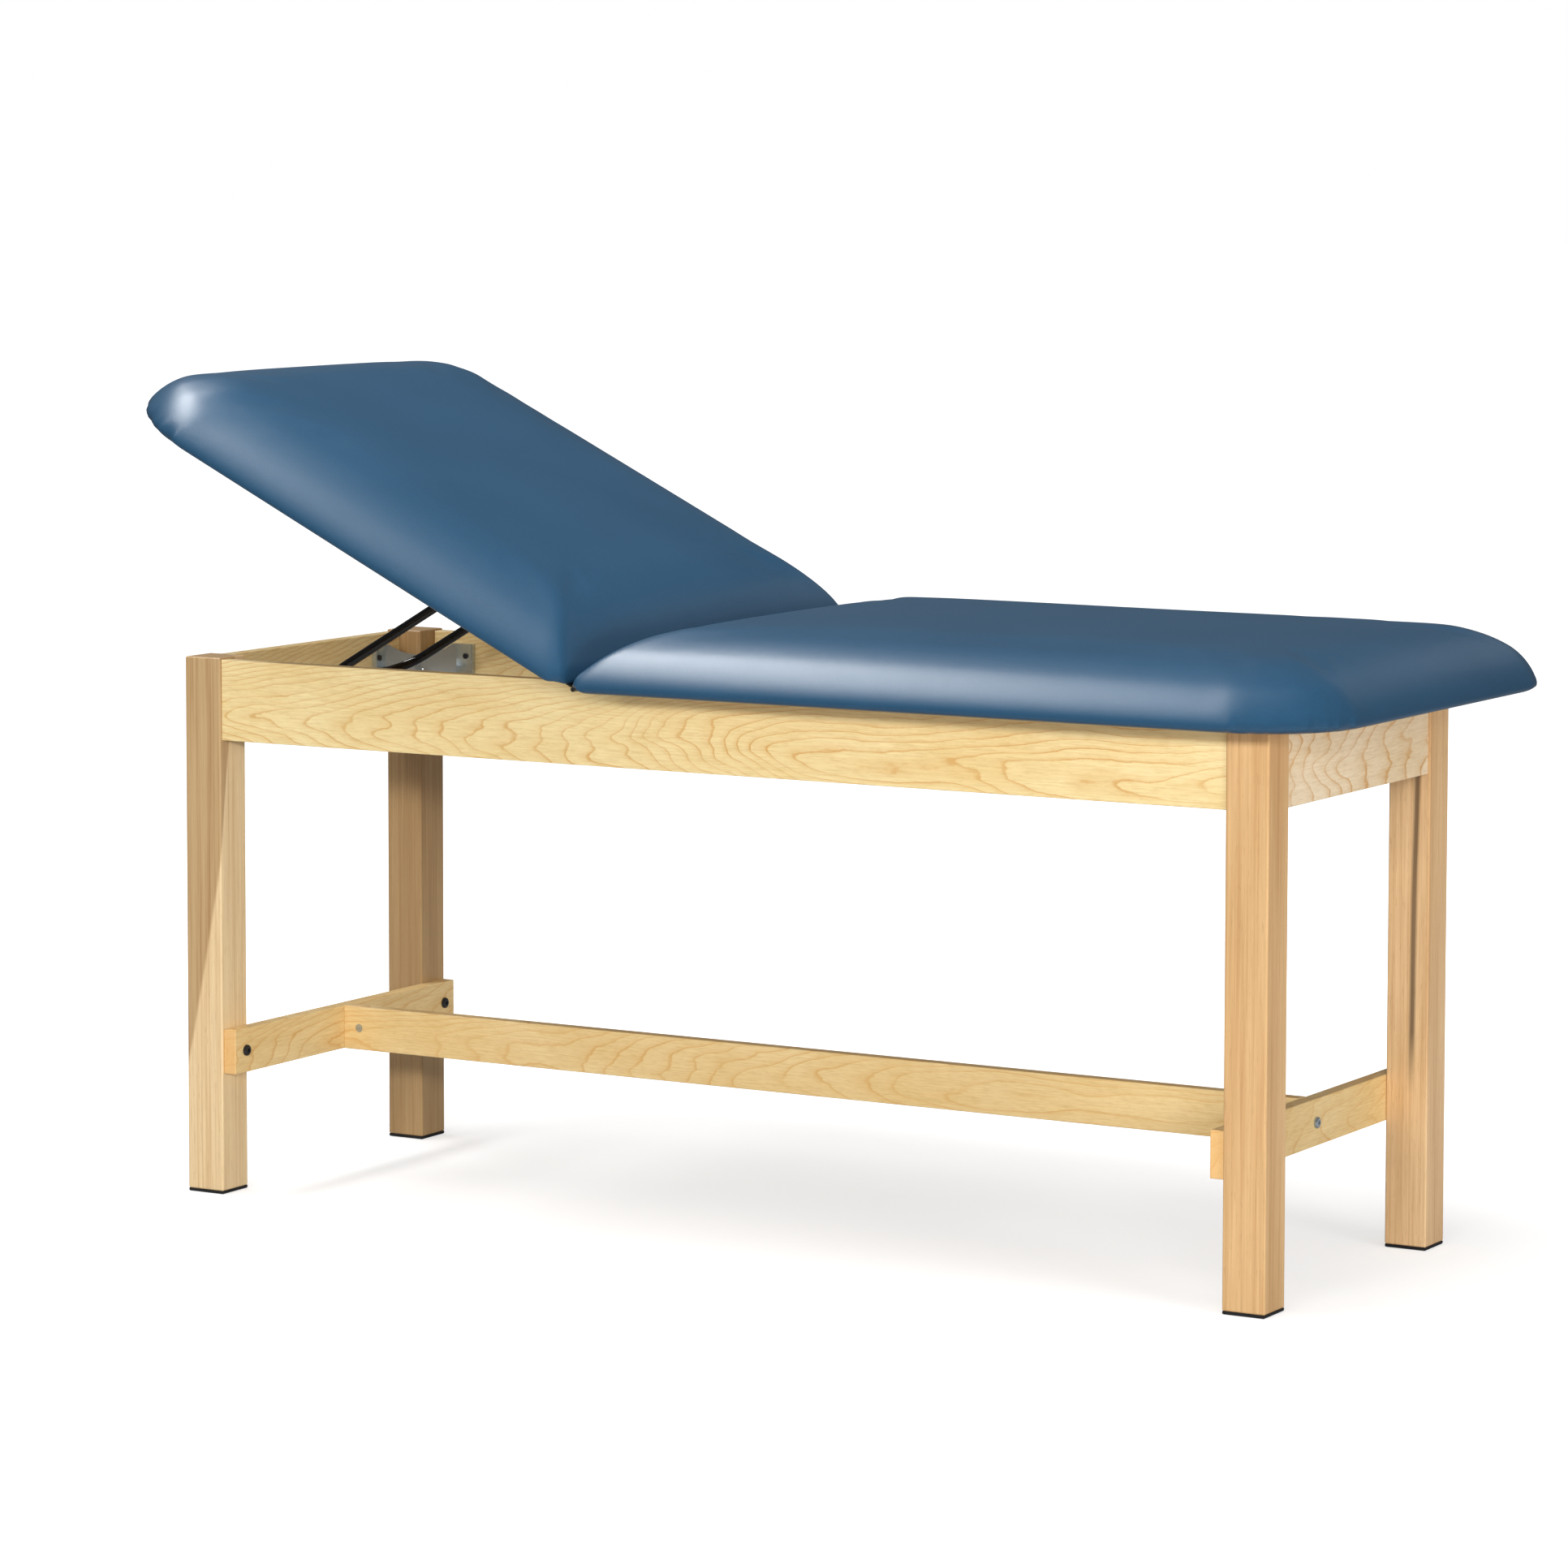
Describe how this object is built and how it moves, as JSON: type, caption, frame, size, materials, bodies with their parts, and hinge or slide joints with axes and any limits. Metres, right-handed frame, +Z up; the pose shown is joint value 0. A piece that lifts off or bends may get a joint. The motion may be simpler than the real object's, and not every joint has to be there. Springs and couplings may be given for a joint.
{
  "type": "examination couch",
  "caption": "Wooden four-leg examination couch with an H-brace, a fixed padded seat and a hinged padded backrest propped by a steel bail.",
  "frame": {"origin": "on the floor, below the middle of the couch's length and width as it stands with the backrest raised", "axes": "+X towards the foot end, +Y across the couch, +Z up; the backrest hinge runs along Y"},
  "size_m": [1.7489, 0.762, 1.1017],
  "materials": {
    "leg_wood": "satin",
    "apron_wood": "satin",
    "rail_wood": "satin",
    "plywood": "matte",
    "vinyl": "satin",
    "zinc_steel": "satin",
    "black_steel": "satin",
    "black_rod": "gloss",
    "foot_plastic": "matte",
    "black_rubber": "matte"
  },
  "bodies": {
    "frame": {"leg_head_near": "leg_wood", "leg_head_far": "leg_wood", "leg_foot_near": "leg_wood", "leg_foot_far": "leg_wood", "foot_pad_head_near": "foot_plastic", "foot_pad_head_far": "foot_plastic", "foot_pad_foot_near": "foot_plastic", "foot_pad_foot_far": "foot_plastic", "apron_head": "apron_wood", "apron_foot": "apron_wood", "apron_near": "apron_wood", "apron_far": "apron_wood", "corner_brace_head_near": "zinc_steel", "corner_brace_head_far": "zinc_steel", "corner_brace_foot_near": "zinc_steel", "corner_brace_foot_far": "zinc_steel", "hanger_bolts": "zinc_steel", "hanger_nuts": "zinc_steel", "hanger_washers": "zinc_steel", "brace_screws": "black_steel", "cross_rail_head": "rail_wood", "cross_rail_foot": "rail_wood", "stretcher": "rail_wood", "rail_bolts": "black_steel", "stretcher_bolts": "zinc_steel", "stretcher_barrel_nuts": "zinc_steel", "mid_cross_rail": "rail_wood", "rack_rail": "rail_wood", "rail_dowels": "rail_wood", "ratchet_rack": "zinc_steel", "rack_screws": "zinc_steel", "seat_board": "plywood", "seat_cushion": "vinyl", "seat_brackets": "zinc_steel", "seat_bracket_screws": "zinc_steel", "hinge_leaves_seat": "black_steel", "hinge_pins": "black_steel", "hinge_screws_seat": "black_steel"},
    "backrest": {"backrest_board": "plywood", "backrest_cushion": "vinyl", "hinge_leaves_backrest": "black_steel", "hinge_screws_backrest": "black_steel", "bail_saddles": "black_steel", "saddle_screws": "black_steel", "closing_buffers": "black_rubber"},
    "bail": {"support_bail": "black_rod"}
  },
  "joints": [
    {"name": "backrest_hinge", "type": "hinge", "parent": "frame", "child": "backrest", "pos_m": [-0.16684, 0, 0.7209], "axis": [0, 1, 0], "range_deg": [-26, 24]},
    {"name": "bail_pivot", "type": "hinge", "parent": "backrest", "child": "bail", "pos_m": [-0.44273, 0, 0.85101], "axis": [0, 1, 0], "range_deg": [-47, 51]}
  ],
  "couplings": [
    {"joint": "bail_pivot", "follows": "backrest_hinge", "ratio": -1.95}
  ]
}
